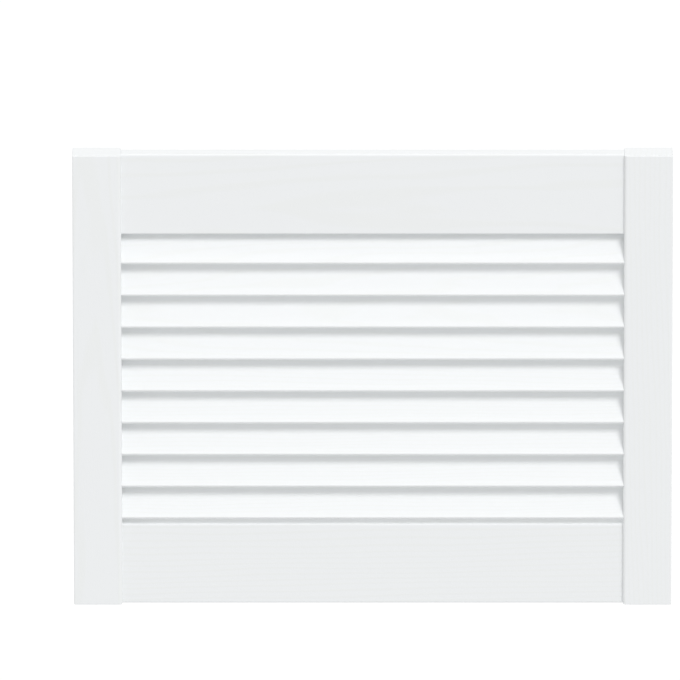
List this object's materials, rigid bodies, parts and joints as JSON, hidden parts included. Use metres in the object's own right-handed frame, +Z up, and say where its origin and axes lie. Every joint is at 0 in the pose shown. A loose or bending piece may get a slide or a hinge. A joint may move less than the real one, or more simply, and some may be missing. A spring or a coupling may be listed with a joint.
{
  "type": "louvred cabinet door",
  "caption": "Small white louvred cabinet door leaf: stiles and set-back rails framing a ladder of fixed sloping round-edged slats that let air through",
  "frame": {"origin": "middle of the outer edge of the left stile, the edge that hinges fasten to, at mid height and mid thickness", "axes": "+X across the door to the right stile, +Y from the front face to the back, +Z up along the stiles"},
  "size_m": [0.494, 0.021, 0.395],
  "materials": {
    "white_painted_pine": "white satin paint on planed pine"
  },
  "bodies": {
    "root": {"left_stile": "white_painted_pine", "right_stile": "white_painted_pine", "bottom_rail": "white_painted_pine", "top_rail": "white_painted_pine", "slat_1": "white_painted_pine", "slat_2": "white_painted_pine", "slat_3": "white_painted_pine", "slat_4": "white_painted_pine", "slat_5": "white_painted_pine", "slat_6": "white_painted_pine", "slat_7": "white_painted_pine", "slat_8": "white_painted_pine", "slat_9": "white_painted_pine"}
  },
  "joints": []
}
